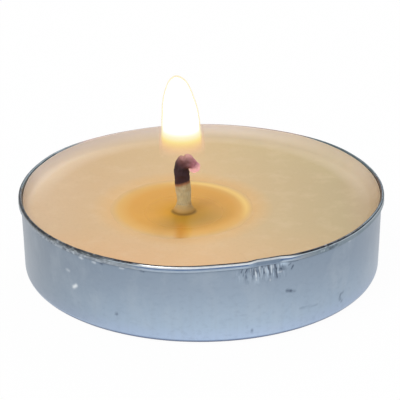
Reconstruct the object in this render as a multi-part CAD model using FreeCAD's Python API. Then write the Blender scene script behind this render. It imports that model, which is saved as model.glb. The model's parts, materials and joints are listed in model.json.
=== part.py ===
import FreeCAD, Part
import math
import os

from FreeCAD import Vector

# Tea light candle, lit, in a low drawn aluminium cup with a dented rolled rim. Millimetres.
# The origin is the centre of the cup's foot on the table. +Z is up, and the dent faces -Y.

# Cup
rim_radius = 19.0  # outside of the rolled rim
cup_height = 8.4
sheet = 0.12  # gauge of the aluminium
wall_draft = 1.1  # degrees that the wall leans out
corner_radius = 0.8  # outside of the bend between floor and wall
corner_count = 2
panel_radius = 12.5  # raised panel in the middle of the floor
panel_rise = 0.6
panel_slope = 40.0  # degrees

# Rolled rim: the sheet folds out and down over a narrow gap
hem_gap = 0.12
skirt_length = 0.48  # straight part outside the wall
fold_flats = 3

# Dent in the rim, by degrees round from +X and levels under the top of the rim
dent_angle = -69.5
dent_half_width = 7.5
dent_depth = 0.25
dent_reach = 3.2  # how far down the wall the dent goes
skirt_flare = 13.0  # degrees that the skirt stands off in the dent
dimple_angle = -64.6
dimple_half_width = 2.4
dimple_depth = 0.16
dimple_level = 0.93
dimple_reach = 0.7
crease_depth = 0.06
crease_angles = (-74.5, -71.2, -67.6)
crease_half_width = 1.3
crease_level = 1.4
crease_reach = 1.0
dent_sections = 28
wall_rows = 14

# Wax
fill_drop = 1.3  # from the top of the rim down to the wax
climb = 1.05  # how far the wax climbs the wall, and the radius of that curve
climb_flats = 2
skin = 0.1  # thickness of the climbing wax at its edge
wax_gap = 0.04  # the wax shrinks a little from the cup as it sets

# Melt pool
pool_radius = 7.2
pool_depth = 1.5
bowl_flats = 2
pool_drop = 0.14  # the liquid lies this far under the solid wax
pool_gap = 0.02
pool_shift_x = -0.2  # middle of the pool from the wick
pool_shift_y = 0.92
collar_radius = 1.5  # foot of the wax that creeps up the wick
collar_height = 0.75
collar_edge = 0.03  # thickness of its upper edge
collar_flats = 1

# Wick: a braid that stands upright, swells where it is charred and curls over to +X
wick_x = -1.8
wick_y = -2.87
wick_radius = 0.7
wick_gap = 0.03
wick_end_gap = 0.05  # from the floor of the cup
wick_sides = 12
strands = 4
strand_relief = 0.07
strand_turn = 75.0  # degrees that the strands move on from one section to the next
stitch = 0.35  # height between sections
braid_from = 1.0  # height over the wax where the strands stand clear of it
sway = 0.2  # how far the charred part leans to -X
char_level = 3.3  # height over the wax where the char is thickest
char_swell = 0.1
char_reach = 1.6
curl_level = 4.75  # height over the wax that the end curls round
curl_side = 0.5  # the same, from the wick's axis
# Degrees round the curl and how far the braid reaches out there
curl_reach = ((180, 1.39), (165, 1.4), (150, 1.5), (136, 1.5), (122, 1.5), (107, 1.3), (90, 1.5),
              (72, 1.35), (55, 1.2), (37, 1.22), (20, 1.18))
curl_inside = 0.05  # what stays free in the middle of the curl
curl_taper = 0.28  # how much thinner the braid is at its end
# The blunt end, from the middle of the curl: out, up, radius
tip_rings = ((0.6, 0.12, 0.52), (0.6, -0.14, 0.49), (0.58, -0.36, 0.4), (0.56, -0.5, 0.22))

# Sustainer: the disc on the floor of the cup, whose crimped neck holds the wick
disc_radius = 6.25
disc_sheet = 0.2
disc_gap = 0.05
neck_height = 3.0
neck_sheet = 0.2
neck_play = 0.22  # between the neck and the wick, at the disc
crimp_level = 2.0  # over the floor, where the neck has closed in on the wick

# Flame
flame_radius = 2.1
flame_top = 6.0  # from its widest level up to the tip
flame_level = 8.7  # height of its widest level over the wax
flame_foot = 3.0  # height of its foot over the wax
flame_foot_radius = 1.45
flame_side = -0.2  # middle of the flame from the wick
flame_gap = 0.15
flame_lean = -0.3  # how far its tip leans to -X
flame_sides = 18
flame_rings = 6  # below its widest level, and as many above

# Levels and radii that follow from these
floor_top = panel_rise + sheet
fill_level = cup_height - fill_drop
fold_radius = sheet + hem_gap / 2
fold_level = cup_height - fold_radius
fold_middle = rim_radius - fold_radius
draft = math.radians(wall_draft)
dent_start = dent_angle - dent_half_width
dent_sweep = 2 * dent_half_width
dent_stop = dent_start + dent_sweep
pool_level = fill_level - pool_drop
sew_within = 1e-4
axis_foot = Vector(0, 0, 0)
axis_up = Vector(0, 0, 1)


def line(a, b):
    return Part.LineSegment(a, b).toShape()


def lines(points):
    return [line(a, b) for a, b in zip(points, points[1:])]


def flat(r, z):
    """The point at a radius and a height in the half-plane that profiles are drawn in."""
    return Vector(r, 0, z)


def spun(edges, start=0.0, sweep=360.0):
    """The surface that a run of edges sweeps round the axis."""
    run = Part.Wire(edges)
    run.rotate(axis_foot, axis_up, start)
    return run.revolve(axis_foot, axis_up, sweep)


def spun_solid(points, x=0.0, y=0.0):
    """A solid of revolution from the corners of its half section, stood at x, y."""
    outline = Part.makePolygon([flat(*point) for point in points + points[:1]])
    solid = Part.Face(outline).revolve(axis_foot, axis_up, 360.0)
    solid.translate(Vector(x, y, 0))
    return solid


def smooth_edge(points):
    """A curve through the points, evenly parametrised so that neighbouring sections match."""
    curve = Part.BSplineCurve()
    last = len(points) - 1
    curve.interpolate(Points=points, Parameters=[i / last for i in range(last + 1)])
    return curve.toShape()


def bell(distance, half_width):
    """1 in the middle, falling smoothly to 0 at half_width."""
    if abs(distance) >= half_width:
        return 0.0
    return math.cos(distance / half_width * math.pi / 2) ** 2


def plateau(distance, half_width):
    """Like bell, but level over its middle third."""
    return bell(max(0.0, abs(distance) - half_width / 3), half_width * 2 / 3)


def round_points(middle_r, middle_z, radius, start, sweep, flats):
    """Corners of a bend struck in short flats, which keeps its facets few."""
    points = []
    for i in range(flats + 1):
        a = start + sweep * i / flats
        points.append((middle_r + radius * math.cos(a), middle_z + radius * math.sin(a)))
    return points


def wall_radius(z, inside):
    """Radius of the straight wall at a height, that far inside its outer face."""
    top = fold_middle - fold_radius + sheet / math.cos(draft)
    return top - (fold_level - z) * math.tan(draft) - inside / math.cos(draft)


def floor_points(inside):
    """The cup's floor and corner from the axis to the foot of the wall, that far inside the outer face."""
    run = panel_rise / math.tan(math.radians(panel_slope))
    middle_r = wall_radius(corner_radius, corner_radius)
    floor = [(0, panel_rise + inside), (panel_radius, panel_rise + inside), (panel_radius + run, inside)]
    sweep = math.pi / 2 - draft
    bend = round_points(middle_r, corner_radius, corner_radius - inside, -math.pi / 2, sweep, corner_count)
    return floor + bend


def hinged(r, z, flare):
    """A point of the skirt, swung out about the middle of the fold by flare degrees."""
    a = math.radians(flare)
    dr = r - fold_middle
    dz = z - fold_level
    swung_r = dr * math.cos(a) - dz * math.sin(a)
    swung_z = dr * math.sin(a) + dz * math.cos(a)
    return (fold_middle + swung_r, fold_level + swung_z)


def rim_points(flare=0.0):
    """The rolled rim from the wall's outer face round to the top of its inner face."""
    ceiling = fold_level + hem_gap / 2
    skirt_end = fold_level - skirt_length
    skirt = [(rim_radius - sheet, ceiling), (rim_radius - sheet, skirt_end), (rim_radius, skirt_end)]
    a = math.radians(flare)
    fold = round_points(fold_middle, fold_level, fold_radius, a, math.pi - a, fold_flats)
    return [(wall_radius(ceiling, 0), ceiling)] + [hinged(r, z, flare) for r, z in skirt] + fold


def pushed_in(degrees, z):
    """How far the wall is pushed in at an angle and a height."""
    under = cup_height - z
    fade = max(0.0, 1 - under / dent_reach)
    push = dent_depth * plateau(degrees - dent_angle, dent_half_width) * fade ** 2
    dimple = bell(degrees - dimple_angle, dimple_half_width)
    push += dimple_depth * dimple * bell(under - dimple_level, dimple_reach)
    for angle in crease_angles:
        crease = bell(degrees - angle, crease_half_width)
        push += crease_depth * crease * bell(under - crease_level, crease_reach)
    return push


def dented(degrees, r, z, share=1.0):
    """A (radius, height) point at an angle round the cup, moved by its share of the dent."""
    a = math.radians(degrees)
    r -= share * pushed_in(degrees, z)
    return Vector(r * math.cos(a), r * math.sin(a), z)


def dented_wall(degrees, top, inside):
    """The wall's line at an angle, that far inside its outer face, from its foot up to top."""
    bottom = floor_points(inside)[-1][1]
    levels = [bottom + (top - bottom) * i / wall_rows for i in range(wall_rows + 1)]
    return smooth_edge([dented(degrees, wall_radius(z, inside), z) for z in levels])


def dented_body(plain_runs, dented_run, section):
    """A solid of revolution, but for the sector with the dent, which is lofted through its sections."""
    rest = 360.0 - dent_sweep
    pieces = []
    for run in plain_runs:
        edges = lines([flat(*point) for point in run])
        pieces += [spun(edges, dent_start, dent_sweep), spun(edges, dent_stop, rest)]
    pieces.append(spun(lines([flat(*point) for point in dented_run]), dent_stop, rest))
    angles = [dent_start + dent_sweep * i / dent_sections for i in range(dent_sections + 1)]
    pieces.append(Part.makeLoft([section(a) for a in angles], False, False))
    shell = Part.makeShell([face for piece in pieces for face in piece.Faces])
    shell.sewShape(sew_within)
    return Part.makeSolid(shell)


def cup_section(degrees):
    """The dented wall and rim at one angle, from the outer face over the fold to the inner face."""
    rim = rim_points(skirt_flare * plateau(degrees - dent_angle, dent_half_width))
    outer = dented_wall(degrees, rim[0][1], 0)
    inner = dented_wall(degrees, rim[-1][1], sheet)
    return Part.Wire([outer] + lines([dented(degrees, *point) for point in rim]) + [inner])


def make_cup():
    floors = [floor_points(0), floor_points(sheet)]
    upper = [floors[0][-1]] + rim_points() + [floors[1][-1]]
    return dented_body(floors, upper, cup_section)


wax_inside = sheet + wax_gap
wax_edge_level = fill_level + climb
wax_edge = wall_radius(wax_edge_level, wax_inside)


def climb_points():
    """The wax's edge at the wall and the hollow curve from it down to the level wax."""
    thick = wax_edge - skin
    curve = round_points(thick - climb, wax_edge_level, climb, 0, -math.pi / 2, climb_flats)
    return [(wax_edge, wax_edge_level)] + curve


def wax_section(degrees):
    edge = climb_points()
    shares = [1.0] + [1 - i / climb_flats for i in range(climb_flats + 1)]
    points = [dented(degrees, r, z, share) for (r, z), share in zip(edge, shares)]
    return Part.Wire([dented_wall(degrees, wax_edge_level, wax_inside)] + lines(points))


def bowl(gap):
    """What fills the hollow under the melt pool, short of its shallow round floor by a gap."""
    radius = (pool_radius ** 2 + pool_depth ** 2) / (2 * pool_depth)
    sweep = math.asin(pool_radius / radius)
    middle = fill_level - pool_depth + radius
    floor = round_points(0, middle, radius - gap, -math.pi / 2, sweep, bowl_flats)
    floor[0] = (0, middle - radius + gap)
    side = [(floor[-1][0], cup_height), (0, cup_height)]
    return spun_solid(floor + side, wick_x + pool_shift_x, wick_y + pool_shift_y)


def post(radius, bottom, top):
    """An upright cylinder on the wick's axis."""
    return Part.makeCylinder(radius, top - bottom, Vector(wick_x, wick_y, bottom))


neck_outside = wick_radius + neck_play + neck_sheet


def make_wax():
    floor = floor_points(wax_inside)
    top = [climb_points()[-1], (0, fill_level)]
    body = dented_body([floor, top], [floor[-1]] + climb_points(), wax_section)
    disc_room = post(disc_radius + disc_gap, 0, floor_top + disc_sheet + disc_gap)
    neck_room = post(neck_outside + disc_gap, 0, floor_top + neck_height + disc_gap)
    bore = post(wick_radius + wick_gap, 0, cup_height)
    return body.cut([disc_room, neck_room, bore, bowl(0)])


def make_melt_pool():
    reach = 2 * pool_radius
    slab = Part.makeBox(2 * reach, 2 * reach, pool_level, Vector(wick_x - reach, wick_y - reach, 0))
    edge = wick_radius + wick_gap + collar_edge
    width = collar_radius - edge
    curve = round_points(collar_radius, pool_level + width, width, math.pi, math.pi / 2, collar_flats)
    stretch = collar_height / width
    collar = [(r, pool_level + (z - pool_level) * stretch) for r, z in curve]
    core = wick_radius / 2
    foot = pool_level - collar_edge
    outline = [(core, foot), (collar_radius, foot)] + collar[::-1] + [(core, collar[0][1])]
    pool = bowl(pool_gap).common(slab).fuse(spun_solid(outline, wick_x, wick_y))
    return pool.cut(post(wick_radius + wick_gap, 0, cup_height))


def ring(middle, across, half_across, half_y, bulges):
    """Corners of one section that spans across and Y, each let out by its bulge."""
    points = []
    for i, bulge in enumerate(bulges):
        a = 2 * math.pi * i / len(bulges)
        along = across * (half_across * bulge * math.cos(a))
        points.append(middle + along + Vector(0, half_y * bulge * math.sin(a), 0))
    return points


def skinned(rings):
    """The solid with three-cornered faces between neighbouring sections and a flat face at each end."""
    corners = []
    for low, high in zip(rings, rings[1:]):
        for i in range(len(low)):
            corners += [(low[i - 1], low[i], high[i]), (low[i - 1], high[i], high[i - 1])]
    faces = [Part.Face(Part.makePolygon([*face, face[0]])) for face in corners + [rings[0], rings[-1]]]
    shell = Part.makeShell(faces)
    shell.sewShape(sew_within)
    return Part.makeSolid(shell)


def braid(step, relief):
    """How far each side of a section stands out, where strands that wind both ways cross each other."""
    bulges = []
    for i in range(wick_sides):
        a = 2 * math.pi * i / wick_sides * strands
        turn = math.radians(strand_turn) * step
        bulges.append(1 + relief / wick_radius * max(math.cos(a + turn), math.cos(a - turn)))
    return bulges


def make_wick(grow=0.0):
    """The wick, or with grow the same shape that much larger all round."""
    bottom = floor_top + wick_end_gap - fill_level
    count = round((curl_level - braid_from) / stitch)
    levels = [bottom] + [braid_from + (curl_level - braid_from) * i / count for i in range(count)]
    across = Vector(1, 0, 0)
    rings = []
    for z in levels:
        lean = sway * (1 - bell(max(0.0, z - braid_from), curl_level - braid_from))
        radius = wick_radius + char_swell * bell(z - char_level, char_reach) + grow
        relief = strand_relief if z > braid_from else 0.0
        middle = Vector(wick_x - lean, wick_y, fill_level + z)
        rings.append(ring(middle, across, radius, radius, braid(len(rings), relief)))
    hub = Vector(wick_x + curl_side, wick_y, fill_level + curl_level)
    for i, (degrees, reach) in enumerate(curl_reach):
        a = math.radians(degrees)
        out = Vector(math.cos(a), 0, math.sin(a))
        thickness = wick_radius * (1 - curl_taper * i / (len(curl_reach) - 1))
        inside = curl_inside - min(grow, curl_inside / 2)
        half = (reach + grow - inside) / 2
        bulges = braid(len(rings), strand_relief)
        rings.append(ring(hub + out * (inside + half), out * -1, half, thickness + grow, bulges))
    for out, up, radius in tip_rings:
        bulges = braid(len(rings), strand_relief * radius / wick_radius)
        middle = hub + Vector(out, 0, up - grow)
        rings.append(ring(middle, across * -1, radius + grow, radius + grow, bulges))
    return skinned(rings)


def make_sustainer():
    bottom = floor_top
    top = bottom + neck_height
    crimp = bottom + crimp_level
    wide = wick_radius + neck_play
    tight = wick_radius + wick_gap
    inner = [(wide, bottom), (tight, crimp), (tight, top)]
    outer = [(r + neck_sheet, z) for r, z in reversed(inner[1:])]
    disc_top = bottom + disc_sheet
    disc = [(wide + neck_sheet, disc_top), (disc_radius, disc_top), (disc_radius, bottom)]
    return spun_solid(inner + outer + disc, wick_x, wick_y)


def make_flame():
    drop = flame_level - flame_foot
    round_ring = [1.0] * flame_sides
    rings = []
    for i in range(-flame_rings, flame_rings):
        share = abs(i) / flame_rings
        if i < 0:
            radius = flame_foot_radius + (flame_radius - flame_foot_radius) * math.sqrt(1 - share ** 3)
            up = -drop * share
        else:
            radius = flame_radius * math.cos(share * math.pi / 2)
            up = flame_top * math.sin(share * math.pi / 2)
        lean = flame_lean * max(0.0, up / flame_top) ** 2
        middle = Vector(wick_x + flame_side + lean, wick_y, fill_level + flame_level + up)
        rings.append(ring(middle, Vector(1, 0, 0), radius, radius, round_ring))
    return skinned(rings).cut(make_wick(flame_gap))


nodes = {
    "cup": make_cup,
    "wax": make_wax,
    "melt_pool": make_melt_pool,
    "wick": make_wick,
    "wick_sustainer": make_sustainer,
    "flame": make_flame,
}

os.makedirs("parts", exist_ok=True)
for name, make in nodes.items():
    shape = make()
    print(name, shape.isValid(), len(shape.Solids), round(shape.Volume, 2))
    shape.exportStep(f"parts/{name}.step")
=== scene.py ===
import bisect
import json
import math

import bmesh
import bpy
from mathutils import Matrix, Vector, noise

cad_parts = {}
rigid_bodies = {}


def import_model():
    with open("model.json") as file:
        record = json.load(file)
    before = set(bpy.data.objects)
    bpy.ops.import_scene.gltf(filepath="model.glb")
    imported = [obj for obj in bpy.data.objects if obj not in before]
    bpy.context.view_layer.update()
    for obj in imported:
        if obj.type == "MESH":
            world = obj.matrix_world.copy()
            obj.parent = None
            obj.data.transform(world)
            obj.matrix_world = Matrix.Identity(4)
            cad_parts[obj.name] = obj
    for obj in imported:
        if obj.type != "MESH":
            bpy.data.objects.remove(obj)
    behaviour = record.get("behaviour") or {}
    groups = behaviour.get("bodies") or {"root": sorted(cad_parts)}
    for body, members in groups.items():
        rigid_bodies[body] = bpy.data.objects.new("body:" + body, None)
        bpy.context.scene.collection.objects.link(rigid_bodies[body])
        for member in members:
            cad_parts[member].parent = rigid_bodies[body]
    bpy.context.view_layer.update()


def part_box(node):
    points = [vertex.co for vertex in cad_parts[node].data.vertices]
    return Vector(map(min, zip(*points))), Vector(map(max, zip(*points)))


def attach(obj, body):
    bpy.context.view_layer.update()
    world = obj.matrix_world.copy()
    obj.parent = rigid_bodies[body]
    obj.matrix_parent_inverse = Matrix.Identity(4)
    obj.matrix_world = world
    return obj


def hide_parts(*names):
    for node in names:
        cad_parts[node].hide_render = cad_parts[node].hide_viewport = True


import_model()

# A lit tea light in a low aluminium cup. Lengths are millimetres, and mesh_piece turns them into metres.
# Heights are over the table, and angles go round from +X, so the camera is at -90 degrees.
MM = 0.001

RIM = 19.0
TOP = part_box("cup")[1][2] / MM
SHEET = 0.12
DRAFT = math.radians(1.1)
CORNER = 0.8
PANEL_RADIUS = 12.5
PANEL_RISE = 0.6
PANEL_RUN = 0.72  # how far out the panel's slope goes
FOLD = 0.18  # radius of the rolled rim's top
FILL = TOP - 1.3  # level of the set wax
WICK_X = -1.8
WICK_Y = -2.87
POOL_LEVEL = FILL - 0.14


# Small helpers for shapes

def bell(distance, half_width):
    """1 in the middle, falling smoothly to 0 at half_width."""
    if abs(distance) >= half_width:
        return 0.0
    return math.cos(distance / half_width * math.pi / 2) ** 2


def plateau(distance, half_width, level=0.4):
    """Like bell, but level over a share of its middle."""
    return bell(max(0.0, abs(distance) - half_width * level), half_width * (1 - level))


def blend(a, b, share):
    return a + (b - a) * share


def smooth(share):
    share = min(1.0, max(0.0, share))
    return share * share * (3 - 2 * share)


def through(points, x):
    """The height at x of a smooth line through points that are sorted by their first number."""
    xs = [p[0] for p in points]
    if x <= xs[0]:
        return points[0][1]
    if x >= xs[-1]:
        return points[-1][1]
    i = bisect.bisect_right(xs, x) - 1
    before = points[max(i - 1, 0)]
    a, b = points[i], points[i + 1]
    after = points[min(i + 2, len(points) - 1)]
    t = (x - a[0]) / (b[0] - a[0])
    slope_a = (b[1] - before[1]) / (b[0] - before[0]) * (b[0] - a[0])
    slope_b = (after[1] - a[1]) / (after[0] - a[0]) * (b[0] - a[0])
    return (a[1] * (1 + 2 * t) * (1 - t) ** 2 + slope_a * t * (1 - t) ** 2
            + b[1] * t * t * (3 - 2 * t) + slope_b * t * t * (t - 1))


def wobble(seed, *place):
    """Smooth noise from -1 to 1 at a place of up to three numbers."""
    point = Vector((*place, *[0.0] * (3 - len(place))))
    return noise.noise(point + Vector((seed * 17.3, seed * 5.1, seed * 9.7)))


def arc(middle_r, middle_z, radius, start, sweep, steps):
    """Points along a bend, by degrees."""
    points = []
    for i in range(steps + 1):
        a = math.radians(start + sweep * i / steps)
        points.append((middle_r + radius * math.cos(a), middle_z + radius * math.sin(a)))
    return points


def straight(a, b, steps):
    """Points from a to b, without a itself."""
    return [(blend(a[0], b[0], i / steps), blend(a[1], b[1], i / steps)) for i in range(1, steps + 1)]


def mesh_piece(name, rings, ends="open", attributes=None, node=None):
    """A smooth piece through rings of equally many points. ends is open, joined (last to first) or capped."""
    count = len(rings[0])
    vertices = [Vector(p) * MM for ring in rings for p in ring]
    faces = []
    pairs = list(zip(range(len(rings)), range(1, len(rings))))
    if ends == "joined":
        pairs.append((len(rings) - 1, 0))
    for low, high in pairs:
        for i in range(count):
            j = (i + 1) % count
            faces.append((low * count + i, low * count + j, high * count + j, high * count + i))
    if ends == "capped":
        for ring in (0, len(rings) - 1):
            middle = sum((vertices[ring * count + i] for i in range(count)), Vector()) / count
            vertices.append(middle)
            hub = len(vertices) - 1
            for i in range(count):
                side = (ring * count + i, ring * count + (i + 1) % count)
                faces.append((hub, side[1], side[0]) if ring == 0 else (hub, side[0], side[1]))
    mesh = bpy.data.meshes.new(name)
    mesh.from_pydata(vertices, [], faces)
    tidy = bmesh.new()
    tidy.from_mesh(mesh)
    bmesh.ops.recalc_face_normals(tidy, faces=tidy.faces)
    tidy.to_mesh(mesh)
    tidy.free()
    mesh.shade_smooth()
    for key, values in (attributes or {}).items():
        flat = [value for ring in values for value in ring]
        flat += [flat[0], flat[-1]][:len(vertices) - len(flat)]
        if isinstance(flat[0], tuple):
            layer = mesh.attributes.new(key, "FLOAT_COLOR", "POINT")
            layer.data.foreach_set("color", [part for value in flat for part in value])
        else:
            layer = mesh.attributes.new(key, "FLOAT", "POINT")
            layer.data.foreach_set("value", flat)
    piece = bpy.data.objects.new(name, mesh)
    bpy.context.scene.collection.objects.link(piece)
    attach(piece, "root")
    if node:
        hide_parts(node)
    return piece


# Small helpers for materials

class Nodes:
    """A material's node tree, with one short call for each kind of node used here."""

    def __init__(self, name):
        self.material = bpy.data.materials.new(name)
        self.material.use_nodes = True
        self.tree = self.material.node_tree
        self.tree.nodes.clear()
        self.output = self.add("ShaderNodeOutputMaterial")

    def add(self, kind, inputs=None, **settings):
        node = self.tree.nodes.new(kind)
        for key, value in settings.items():
            setattr(node, key, value)
        for key, value in (inputs or {}).items():
            self.put(node.inputs[key], value)
        return node

    def put(self, socket, value):
        if isinstance(value, bpy.types.NodeSocket):
            self.tree.links.new(value, socket)
        else:
            socket.default_value = value

    def math(self, operation, a, b=0.0, clamp=False):
        return self.add("ShaderNodeMath", {0: a, 1: b}, operation=operation, use_clamp=clamp).outputs[0]

    def over(self, a, b, times):
        """How far a is over b, times a number, kept between 0 and 1."""
        return self.math("MULTIPLY", self.math("SUBTRACT", a, b), times, clamp=True)

    def around(self, value, middle, slope):
        """1 where value is at the middle, falling by the slope to 0 on both sides."""
        off = self.math("ABSOLUTE", self.math("MULTIPLY", self.math("SUBTRACT", value, middle), slope))
        return self.math("SUBTRACT", 1.0, off, clamp=True)

    def length(self, x, y):
        """The length of the line that goes x across and y deep."""
        squares = [self.math("MULTIPLY", side, side) for side in (x, y)]
        return self.math("SQRT", self.math("ADD", *squares))

    def mix(self, share, a, b, mode="MIX"):
        node = self.add("ShaderNodeMix", data_type="RGBA", blend_type=mode)
        for key, value in ((0, share), (6, a), (7, b)):
            self.put(node.inputs[key], value)
        return node.outputs[2]

    def place(self, scale=(1.0, 1.0, 1.0)):
        """Object coordinates in metres, times a scale."""
        source = self.add("ShaderNodeTexCoord").outputs["Object"]
        return self.add("ShaderNodeMapping", {"Vector": source, "Scale": scale}).outputs[0]

    def in_mm(self):
        """Object coordinates in millimetres: x, y and z."""
        place = self.place([1 / MM] * 3)
        return self.add("ShaderNodeSeparateXYZ", {0: place}).outputs

    def noise(self, vector, scale, detail=3.0, roughness=0.5):
        inputs = {"Vector": vector, "Scale": scale, "Detail": detail, "Roughness": roughness}
        return self.add("ShaderNodeTexNoise", inputs).outputs["Fac"]

    def ramp(self, value, *stops):
        node = self.add("ShaderNodeValToRGB", {0: value})
        elements = node.color_ramp.elements
        while len(elements) < len(stops):
            elements.new(0.5)
        for element, (place, colour) in zip(elements, stops):
            element.position = place
            element.color = colour if len(colour) == 4 else (*colour, 1.0)
        return node.outputs[0]

    def attribute(self, name, output="Fac"):
        return self.add("ShaderNodeAttribute", attribute_name=name).outputs[output]

    def bump(self, height, distance, strength=1.0, normal=None):
        inputs = {"Height": height, "Distance": distance, "Strength": strength}
        if normal is not None:
            inputs["Normal"] = normal
        return self.add("ShaderNodeBump", inputs).outputs[0]

    def shader(self, shader):
        self.tree.links.new(shader, self.output.inputs["Surface"])
        return self.material


def colour(red, green, blue):
    """The linear colour of an 0 to 255 one."""
    def linear(v):
        v = min(255.0, max(0.0, v)) / 255
        return v / 12.92 if v <= 0.04045 else ((v + 0.055) / 1.055) ** 2.4
    return (linear(red), linear(green), linear(blue), 1.0)


def toned(a, b, share):
    """A colour a moved towards b."""
    share = min(1.0, max(0.0, share))
    return tuple(blend(x, y, share) for x, y in zip(a, b))


def tone_at(stops, place):
    """The colour at a place between stops of (place, colour)."""
    for (low, a), (high, b) in zip(stops, stops[1:]):
        if place <= high:
            return toned(a, b, (place - low) / (high - low))
    return stops[-1][1]


# Cup: drawn sheet with a raised panel in its floor and a rolled rim that is dented at one place

DENT = -69.5
DENT_HALF = 7.5
DENT_DEPTH = 0.25
DENT_REACH = 3.2  # how far down the wall the dent goes
FACET = -71.1  # middle of the stretch where the rim's lower bead is pressed flat
FACET_HALF = 5.6
CREASES = (
    # angle, level under the rim, half width in degrees, reach down, depth
    (-76.2, 1.15, 0.55, 0.55, 0.05),
    (-74.5, 1.35, 0.5, 0.75, 0.10),
    (-72.6, 1.6, 0.5, 0.6, -0.04),
    (-71.3, 1.3, 0.55, 0.7, 0.06),
    (-69.7, 0.95, 0.4, 0.5, 0.09),
    (-68.6, 1.7, 0.6, 0.8, -0.04),
    (-67.3, 1.35, 0.45, 1.1, 0.10),
    (-65.9, 1.9, 0.7, 0.8, -0.03),
    (-62.0, 1.05, 0.45, 0.8, 0.05),
)
DIMPLE = (-64.6, 0.95, 2.3, 0.75, 0.17)
FOLD_STEPS = 14
WALL_ROWS = 54
INNER_ROWS = 12
ROLL_END = 0.6  # level under the rim where its rolled edge ends
RIM_FROM = TOP - 0.85


def wall_radius(z, inside):
    top = RIM - 2 * FOLD + SHEET
    return top - (TOP - FOLD - z) * math.tan(DRAFT) - inside


def pushed_in(degrees, z):
    """How far the wall is pushed in at an angle and a height."""
    under = TOP - z
    fade = max(0.0, 1 - under / DENT_REACH)
    push = DENT_DEPTH * plateau(degrees - DENT, DENT_HALF) * fade ** 2
    for angle, level, half, reach, depth in CREASES + (DIMPLE,):
        push += depth * bell(degrees - angle, half) * bell(under - level, reach)
    low = smooth(under / 1.5)
    push += 0.012 * wobble(1, degrees / 9, z / 4) * low
    push -= 0.05 * wrinkled(degrees, under)
    return push


def facet_share(degrees):
    """How far the rim's lower bead is pressed flat at an angle."""
    return plateau(degrees - FACET, FACET_HALF, 0.75)


def crimped(degrees, z):
    """The small waves that rolling leaves in the rim."""
    a = math.radians(degrees)
    x, y = 30 * math.cos(a), 30 * math.sin(a)
    near_left = bell(degrees + 122, 30) + 0.7 * bell(degrees + 150, 16)
    fine = wobble(2, x * 2.2, y * 2.2, z * 3) * (0.012 + 0.03 * near_left)
    return fine + 0.02 * wobble(3, x * 0.35, y * 0.35, z)


def out_of_round(degrees):
    """The rim's own small error of form."""
    near = -0.2 * plateau(degrees + 52, 50, 0.5) - 0.22 * bell(degrees + 74, 30)
    far = 0.09 * bell(degrees - 140, 22) + 0.08 * bell(degrees - 47, 20)
    return near + far - 0.07 * bell(degrees - 112, 18) - 0.05 * bell(degrees - 72, 16)


def widened(degrees, z):
    """How far the wall follows the rim's error of form at a height: not at all low down."""
    return smooth((z - 2.5) / 5) * out_of_round(degrees)


def sagged(degrees):
    """How far the rim lies low: the far side sags, and the near right stands up a little."""
    from_far_side = (degrees - 92 + 180) % 360 - 180
    return 0.17 * plateau(from_far_side, 62, 0.5) - 0.12 * plateau(degrees + 56, 50, 0.5)


def floor_profile(inside):
    """The floor and corner from the axis to the foot of the wall."""
    upper_bend, lower_bend = 0.2, 0.15
    flat_end = PANEL_RADIUS - 0.15
    slope_foot = PANEL_RADIUS + PANEL_RUN + 0.05
    middle = wall_radius(CORNER, CORNER)
    points = [(0.02, PANEL_RISE + inside)]
    points += straight(points[-1], (flat_end, PANEL_RISE + inside), 5)
    points += arc(flat_end, PANEL_RISE + inside - upper_bend, upper_bend, 90, -40, 3)[1:]
    points += arc(slope_foot, inside + lower_bend, lower_bend, 230, 40, 3)
    points += straight(points[-1], (middle, inside), 4)
    return points + arc(middle, CORNER, CORNER - inside, -90, 90 - math.degrees(DRAFT), 11)[1:]


def rim_profile(degrees):
    """The rolled rim from the wall's outer face round to its inner face.

    Each point is its offsets from RIM and TOP, then how far round the fold it lies: from 0 outside to 180
    inside, or None where it isn't in the fold.
    """
    bead = 1 - facet_share(degrees)
    flare = math.radians(13 * plateau(degrees - DENT, DENT_HALF))
    uneven = 0.4 + bell(degrees + 64, 5) + bell(degrees + 120, 32)
    bottom = -0.66 - 0.03 * bead + 0.035 * wobble(4, degrees / 3.1) * uneven
    bead_radius = blend(0.062, 0.1, bead)
    waist = 0.035 * bead
    skirt_inner = -SHEET - 0.02
    shape = [(-0.26, -SHEET), (skirt_inner, -SHEET - 0.04)]
    shape += straight(shape[-1], (skirt_inner, bottom + bead_radius), 3)
    shape += arc(-bead_radius + 0.01 * bead, bottom + bead_radius, bead_radius, 180, 180, 8)
    shape += [(-waist * 0.6, bottom + 2.0 * bead_radius + 0.02), (-waist, -0.40), (-waist, -0.34)]
    shape += [(-waist * 0.5, -0.27)]
    turned = []
    for r, z in shape:
        dr, dz = r + FOLD, z + FOLD
        across = dr * math.cos(flare) - dz * math.sin(flare)
        along = dr * math.sin(flare) + dz * math.cos(flare)
        turned.append((-FOLD + across, -FOLD + along, None))
    start = math.degrees(flare) * 0.5
    sweep = 180 - start
    fold = arc(-FOLD, -FOLD, FOLD, start, sweep, FOLD_STEPS)
    return turned + [(r, z, start + sweep * i / FOLD_STEPS) for i, (r, z) in enumerate(fold)]


def wrinkled(degrees, level):
    """Fine upright wrinkles under the dent, from -1 to 1."""
    mask = plateau(degrees + 71.8, 8.6, 0.5) * bell(level - 1.35, 1.25)
    return mask * (wobble(20, degrees * 1.35, level * 0.8) + 0.6 * wobble(21, degrees * 2.6, level * 1.3))


def dented(degrees, point):
    """Where the wall is finely creased: 1 under the dent, 0 elsewhere."""
    level = TOP - point[2]
    return plateau(degrees + 71.5, 9.5, 0.5) * bell(level - 1.3, 1.3) if level > ROLL_END else 0.0


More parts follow.
